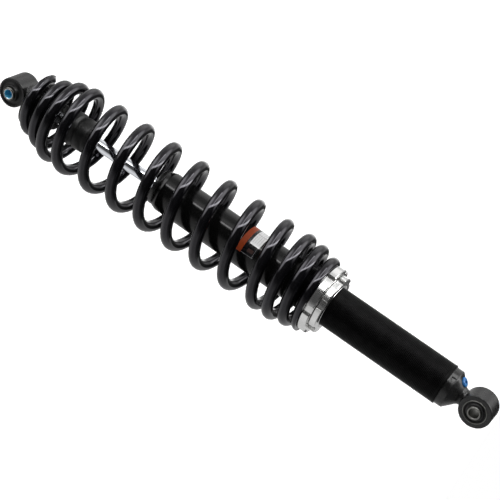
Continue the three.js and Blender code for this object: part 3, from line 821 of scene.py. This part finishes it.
def collars():
    bore = TUBE_R + 0.12
    low, high, rim = extent("preload_collar")
    collar("spring_preload_collar", "preload_collar", [
        [bore, low], [26.5, low], [27.2, low + 0.8], [27.2, PRELOAD_FACE],
        [rim - CHAMFER, PRELOAD_FACE], [rim, PRELOAD_FACE + CHAMFER],
        [rim, high - CHAMFER], [rim - CHAMFER, high], [bore, high],
    ], rim, PRELOAD_FIRST_SLOT)
    low, high, _ = extent("lock_collar")
    collar("collar_lock_ring", "lock_collar", [
        [bore, low], [LOCK_R - CHAMFER, low], [LOCK_R, low + CHAMFER],
        [LOCK_R, high - CHAMFER], [LOCK_R - CHAMFER, high],
        [bore + 2.4, high], [bore + 2.0, high - 0.5], [bore + 1.3, high - 0.5], [bore + 1, high],
        [bore + 0.5, high], [bore, high - 0.5],
    ], LOCK_R, LOCK_FIRST_SLOT)


# ---- rod end --------------------------------------------------------------------------------
ROD_R = 6.25
ROD_SHOULDER = -333.8
ROD_THREAD_R = 5
SLIDING_BORE_R = ROD_R + 0.25
RETAINER_FLANGE_R = 27
RETAINER_FLANGE = 2.8
RETAINER_PILOT_R = 19.2
RETAINER_HUB_R = 14.7
RETAINER_SLOT_TURN = 58  # degrees about +Z


def head_cap():
    low, high, rim = extent("head_cap")
    edge = TUBE_LOW - 0.3
    stand_in(build("head_cap_cover", lathe(rounded([
        [ROD_R + 0.6, high], [ROD_R + 0.6, -375.3], [10.35, -375.3], [10.35, low + 0.3, 0.2],
        [11.2, low, 0.3], [rim, low, 0.9], [rim, edge, 0.4], [17.6, edge], [17.6, high],
    ]))), "head_cap")


def dust_wiper():
    stand_in(build("rod_wiper", lathe(rounded([
        [ROD_R + 0.12, -379.7, 0.1], [7.5, -379.7, 0.3], [8.4, -378.7, 0.3],
        [10.2, -378.7, 0.2], [10.2, -375.6], [ROD_R + 0.9, -375.6], [ROD_R + 0.9, -378, 0.2],
    ]), SMALL_ROUND)), "dust_wiper")


def piston_rod():
    low, high, _ = extent("piston_rod")
    stand_in(build("chrome_rod", lathe(rounded([
        [0, low], [ROD_R, low, 0.6], [ROD_R, ROD_SHOULDER, 0.3], [ROD_THREAD_R, ROD_SHOULDER],
        [ROD_THREAD_R, high, 0.6], [0, high],
    ]), SMALL_ROUND)), "piston_rod")


def bump_stop():
    """A rubber block on the rod, waisted so that it folds as it is squeezed."""
    low, high, rim = extent("bump_stop")
    stand_in(build("bump_rubber_block", lathe(rounded([
        [SLIDING_BORE_R, low + 0.6, 0.4], [9, low, 0.8], [rim - 0.6, low, 1.6],
        [rim, low + 12.5, 2], [rim - 2.2, low + 15.8, 1.6], [rim - 0.4, low + 19, 2],
        [rim - 1.0, high - 5.5, 3], [rim - 5, high, 2.4], [9.5, high, 1.2],
        [SLIDING_BORE_R, high - 1.2, 0.4],
    ]))), "bump_stop", 60)


def spring_retainer():
    """Flange, pilot and hub that seat the spring, slotted so that it slips over the rod."""
    low, high, _ = extent("spring_retainer")
    flange_top = low + RETAINER_FLANGE
    seat = build("spring_seat_retainer", lathe(rounded([
        [0, low], [RETAINER_FLANGE_R, low, 0.7], [RETAINER_FLANGE_R, flange_top, 0.5],
        [RETAINER_PILOT_R, flange_top, 0.8], [RETAINER_PILOT_R, flange_top + 8.6, 1.5],
        [RETAINER_HUB_R, high - 9, 2.5], [RETAINER_HUB_R, high, 0.9], [0, high],
    ])))
    length = 2 * BEYOND
    slot = box(length, 2 * SLIDING_BORE_R, length, at(BEYOND, 0, (low + high) / 2, RETAINER_SLOT_TURN))
    combine(seat, [disc(SLIDING_BORE_R, low - 5, high + 5), slot])
    apply(seat, "BEVEL", width=0.0004, segments=2, limit_method="ANGLE", angle_limit=math.radians(45))
    stand_in(seat, "spring_retainer")


# ---- coil spring ----------------------------------------------------------------------------
WIRE_R = 5.75
SPRING_TURNS = 13.6
SPRING_START = -539
SPRING_START_ANGLE = 149  # degrees about +Z
PITCH_PLAN = [  # (turn, rise per turn)
    (0, 26.3), (0.9, 14.9), (2.5, 14.9), (3.7, 34.7), (10.1, 34.7), (11, 16.1), (12.7, 16.4), (13.3, 11),
]
RADIUS_PLAN = [(0, 32.5), (3, 46.2), (11.2, 46.5), (13.55, 39.5)]  # (turn, outside radius)
SAMPLES = 40  # of the wire's centre line, per turn
WIRE_SIDES = 28
END_ROUND = 2
END_STEPS = 3
SHUT_GAP = 0.3  # left between two turns when they are shut
WIDEST_GAP = 40.0  # more than any turn can close
HALVINGS = 40


def along(plan, x):
    """Value at x along a plan of (x, value) points, easing from each to the next."""
    for (x0, a), (x1, b) in zip(plan, plan[1:]):
        if x < x1:
            t = max(0, (x - x0) / (x1 - x0))
            return a + (b - a) * t * t * (3 - 2 * t)
    return plan[-1][1]


def spring_stations():
    """(turn, height) of the wire's centre, adding up the pitch plan."""
    height = SPRING_START
    stations = [(0.0, height)]
    for i in range(round(SPRING_TURNS * SAMPLES)):
        height += along(PITCH_PLAN, (i + 0.5) / SAMPLES) / SAMPLES
        stations.append(((i + 1) / SAMPLES, height))
    return stations


def spring_point(turn, height):
    radius = along(RADIUS_PLAN, turn) - WIRE_R
    angle = math.radians(SPRING_START_ANGLE) + 2 * math.pi * turn
    return Vector((radius * math.cos(angle), radius * math.sin(angle), height))


def travel_shares(stations, travel):
    """How far each station moves with the spring's seat, from 1 at the seat to 0 at the collar.

    Each turn closes until its wires would touch, so at full travel the close coils have stopped early
    and the open ones have taken the rest. The share that every open turn takes is found by halving.
    """
    pitches = [along(PITCH_PLAN, turn + 0.5 / SAMPLES) for turn, _ in stations[:-1]]
    gaps = [max(0.0, pitch - 2 * WIRE_R - SHUT_GAP) / SAMPLES for pitch in pitches]
    low, high = 0.0, WIDEST_GAP
    for _ in range(HALVINGS):
        each = (low + high) / 2
        closed = sum(min(gap, each / SAMPLES) for gap in gaps)
        low, high = (each, high) if closed < travel else (low, each)
    moves = [min(gap, high / SAMPLES) for gap in gaps]
    total = sum(moves)
    shares = [1.0]
    for move in moves:
        shares.append(shares[-1] - move / total)
    return shares


def spring_rings(stations, shares):
    """(centre, direction, outward, upward, radius, share) of each ring of the wire's skin, ends rounded."""
    centres = [spring_point(*station) for station in stations]
    rings = []
    for i, centre in enumerate(centres):
        ahead = (centres[min(i + 1, len(centres) - 1)] - centres[max(i - 1, 0)]).normalized()
        outward = Vector((centre.x, centre.y, 0)).normalized()
        outward = (outward - ahead * outward.dot(ahead)).normalized()
        rings.append((centre, ahead, outward, ahead.cross(outward), WIRE_R, shares[i]))
    start, end = rings[0], rings[-1]
    for step in range(1, END_STEPS + 1):
        lean = math.pi / 2 * step / END_STEPS
        radius = WIRE_R - END_ROUND * (1 - math.cos(lean))
        push = END_ROUND * math.sin(lean)
        rings.insert(0, (start[0] - start[1] * push, *start[1:4], radius, start[5]))
        rings.append((end[0] + end[1] * push, *end[1:4], radius, end[5]))
    return rings


def coil_spring():
    """The wire, ground flat at both ends. Each ring's share of the travel is worked out but not used."""
    seat_low, seat_high = (p.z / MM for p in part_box("coil_spring"))
    stations = spring_stations()
    travel = next(j for j in frame["joints"] if j["name"] == "shock_travel")["range_m"][1] / MM
    rings = spring_rings(stations, travel_shares(stations, travel))
    vertices, weights, faces = [], [], []
    for centre, _, outward, upward, radius, share in rings:
        for j in range(WIRE_SIDES):
            angle = 2 * math.pi * j / WIRE_SIDES
            point = centre + outward * radius * math.cos(angle) + upward * radius * math.sin(angle)
            point.z = min(max(point.z, seat_low), seat_high)
            vertices.append(point * MM)
            weights.append(share)
    for low in range(0, len(vertices) - WIRE_SIDES, WIRE_SIDES):
        for j in range(WIRE_SIDES):
            k = (j + 1) % WIRE_SIDES
            faces.append((low + j, low + k, low + WIRE_SIDES + k, low + WIRE_SIDES + j))
    faces.append(tuple(range(WIRE_SIDES - 1, -1, -1)))
    faces.append(tuple(len(vertices) - WIRE_SIDES + j for j in range(WIRE_SIDES)))
    spring = stand_in(build("coil_spring_wire", (vertices, faces)), "coil_spring", 40)
    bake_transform(spring)


# ---- the rest of the CAD nodes keep their shape ---------------------------------------------
def dress_inner_nodes():
    for entry in frame["record"]["subparts"]:
        node = frame["nodes"][entry["node"]]
        if node.hide_render:
            continue
        node.data.materials.clear()
        node.data.materials.append(SLOT_MATERIALS[entry["material_slot"]])


# ---- floor, light and background ------------------------------------------------------------
FLOOR_DROP = 0.06  # below the shock's lower end
FLOOR_HALF = 14
LAMP_LENGTH = 0.9
LAMP_WIDTH = 0.25
LAMP_POWER = 3
STRIP_SIDE = Vector((0, 0, 0.276)) + level_view * 0.22 - across_view * 0.936
STRIP_OFFSET = 0.358  # the long softbox lies where a direction's dot with that side is minus this
STRIP_STRENGTH = 8.0
SKIRT_STRENGTH = 1.1
GLOWS = (  # azimuth and elevation of the middle, radius in degrees, strength
    (37, -52, 34, 3.0),  # broad, in front towards the rod eye
    (92, 36, 38, 2.2),  # from above in the picture, towards the body eye
    (113, -12, 26, 0.5),  # weak, from above and behind
    (-85, -38, 35, 0.25),  # faint, from below in the picture
)


def floor():
    z = CAD_LOW.z - FLOOR_DROP
    s = FLOOR_HALF
    corners = [(-s, -s, z), (s, -s, z), (s, s, z), (-s, s, z)]
    plane = bpy.data.meshes.new("floor")
    plane.from_pydata(corners, [], [(0, 1, 2, 3)])
    ground = bpy.data.objects.new("floor", plane)
    bpy.context.scene.collection.objects.link(ground)
    paint = Finish("floor_paint", Roughness=0.9, Emission_Strength=0.55, Emission_Color=(1, 1, 1, 1))
    paint.set("Base Color", paint.mix(paint.noise(3, 2), grey(0.90), grey(0.93)))
    plane.materials.append(paint.material)
    ground.visible_glossy = False


def lamp():
    """A softbox above the shock on the camera's side."""
    data = bpy.data.lights.new("top_softbox", "AREA")
    data.shape = "RECTANGLE"
    data.size, data.size_y = LAMP_LENGTH, LAMP_WIDTH
    data.energy = LAMP_POWER
    softbox = bpy.data.objects.new("top_softbox", data)
    aim = Vector((0, 0, VIEW_HEIGHT))
    softbox.location = aim + across_view * 0.9 + towards_camera * 0.55
    softbox.rotation_euler = (Vector(softbox.location) - aim).to_track_quat("Z", "Y").to_euler()
    softbox.visible_camera = False
    bpy.context.scene.collection.objects.link(softbox)


def direction(azimuth, elevation):
    """Unit direction, in degrees: from the camera's side towards the top of the picture, and along +Z."""
    a, e = math.radians(azimuth), math.radians(elevation)
    level = level_view * math.cos(e) * math.cos(a) + across_view * math.cos(e) * math.sin(a)
    return level + Vector((0, 0, math.sin(e)))


def surroundings():
    """What the shock reflects: a dark room on the camera's side, with pale walls above and below it.

    A long softbox curves over it, with a weaker skirt beside it, and a few soft glows fill the rest.
    The camera itself sees white.
    """
    world = bpy.data.worlds.new("studio")
    bpy.context.scene.world = world
    world.use_nodes = True
    sky = Nodes(world.node_tree)
    way = sky.add("ShaderNodeTexCoord").outputs["Generated"]

    def towards(vector):
        node = sky.add("ShaderNodeVectorMath", operation="DOT_PRODUCT")
        sky.feed(node.inputs[0], way)
        node.inputs[1].default_value = vector
        return node.outputs["Value"]

    def ease(value, low, high, to_low=0, to_high=1):
        return sky.span(value, low, high, to_low, to_high, "SMOOTHSTEP")

    def within(light, *limits):
        for limit in limits:
            light = sky.maths("MULTIPLY", light, ease(*limit))
        return light

    front, side, rise = towards(level_view), towards(across_view), towards((0, 0, 1))
    azimuth = sky.maths("ARCTAN2", side, front)
    wall_below = ease(azimuth, math.radians(-54), math.radians(-22), 0.6, 0.06)
    wall_below = within(wall_below, (rise, 0.5, 0.85, 1, 0.2))
    off_strip = sky.maths("ADD", towards(STRIP_SIDE), STRIP_OFFSET)
    strip = ease(sky.maths("ABSOLUTE", off_strip), 0.03, 0.08, STRIP_STRENGTH, 0)
    strip = within(strip, (front, -0.5, -0.2), (rise, -0.75, -0.35), (rise, 0.96, 0.8))
    wall_above = ease(off_strip, -0.25, -0.05, 0.5, 0)
    skirt = ease(off_strip, -0.48, -0.16, 0, SKIRT_STRENGTH)
    skirt = within(skirt, (off_strip, 0.02, -0.04), (rise, -0.5, -0.3), (rise, 0.15, -0.1))
    walls = sky.maths("ADD", wall_below, wall_above)
    total = sky.maths("ADD", walls, sky.maths("ADD", strip, skirt))
    for azimuth_middle, elevation, radius, strength in GLOWS:
        near = towards(direction(azimuth_middle, elevation))
        glow = sky.span(near, math.cos(math.radians(radius)), 1, 0, strength, "SMOOTHERSTEP")
        total = sky.maths("ADD", total, glow)
    seen = sky.add("ShaderNodeLightPath").outputs["Is Camera Ray"]
    back = sky.tree.nodes["Background"]
    sky.feed(back.inputs["Strength"], sky.span(seen, 0, 1, total, 1))
    back.inputs["Color"].default_value = (1, 1, 1, 1)


def main():
    body_tube()
    label()
    body_eye()
    rod_eye()
    bushes()
    gas_plug()
    collars()
    head_cap()
    dust_wiper()
    piston_rod()
    bump_stop()
    spring_retainer()
    coil_spring()
    dress_inner_nodes()
    floor()
    surroundings()
    lamp()
    bpy.context.scene.view_settings.view_transform = "Standard"


main()
